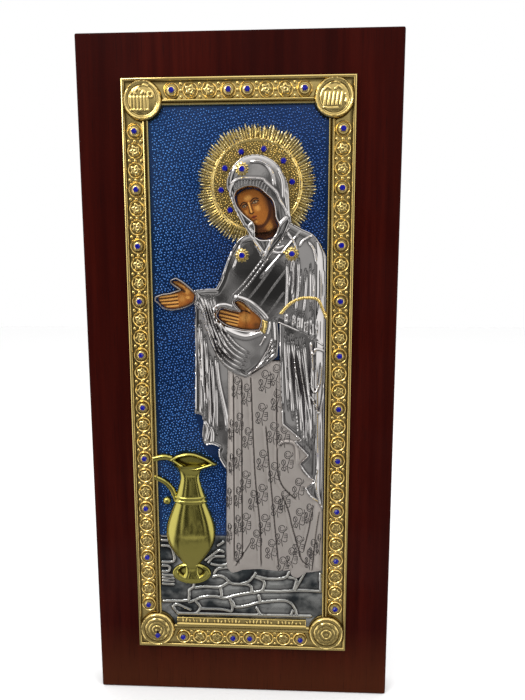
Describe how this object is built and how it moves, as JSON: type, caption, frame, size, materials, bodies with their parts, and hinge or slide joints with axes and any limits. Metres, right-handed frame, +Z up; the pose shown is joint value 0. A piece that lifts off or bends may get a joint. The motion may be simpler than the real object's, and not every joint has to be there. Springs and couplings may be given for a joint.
{
  "type": "icon panel",
  "caption": "Tall lacquered wood board carrying a pressed gilt, silver and blue enamel relief of a veiled standing figure beside a jug, in a rosette border set with blue glass stones",
  "frame": {"origin": "centre of the board's flat back, midway in its width and height", "axes": "+X right as seen from the front, +Y out of the back into the wall, +Z up"},
  "size_m": [0.201, 0.0278, 0.438],
  "materials": {
    "wood": "dark mahogany under glossy lacquer",
    "painted_sheet": "satin painted sheet",
    "pressed_metal": "polished gilt pressed sheet",
    "silver_metal": "mirror silver pressed sheet",
    "satin_silver": "satin silver with engraved sprigs",
    "blue_enamel": "blue enamel over a dotted ground",
    "glass_stone": "foil backed blue glass"
  },
  "bodies": {
    "root": {"wood_panel": "wood", "picture_print": "painted_sheet", "metal_cover": "pressed_metal", "stone_top_01": "glass_stone", "stone_top_02": "glass_stone", "stone_top_03": "glass_stone", "stone_top_04": "glass_stone", "stone_bottom_01": "glass_stone", "stone_bottom_02": "glass_stone", "stone_bottom_03": "glass_stone", "stone_bottom_04": "glass_stone", "stone_left_01": "glass_stone", "stone_left_02": "glass_stone", "stone_left_03": "glass_stone", "stone_left_04": "glass_stone", "stone_left_05": "glass_stone", "stone_left_06": "glass_stone", "stone_left_07": "glass_stone", "stone_left_08": "glass_stone", "stone_left_09": "glass_stone", "stone_left_10": "glass_stone", "stone_right_01": "glass_stone", "stone_right_02": "glass_stone", "stone_right_03": "glass_stone", "stone_right_04": "glass_stone", "stone_right_05": "glass_stone", "stone_right_06": "glass_stone", "stone_right_07": "glass_stone", "stone_right_08": "glass_stone", "stone_right_09": "glass_stone", "stone_right_10": "glass_stone", "stone_corner": "glass_stone", "stone_halo_1": "glass_stone", "stone_halo_2": "glass_stone", "stone_halo_3": "glass_stone", "stone_halo_4": "glass_stone", "stone_halo_5": "glass_stone", "stone_halo_6": "glass_stone", "stone_halo_7": "glass_stone", "stone_star_1": "glass_stone", "stone_star_2": "glass_stone", "stone_star_3": "glass_stone"}
  },
  "joints": []
}
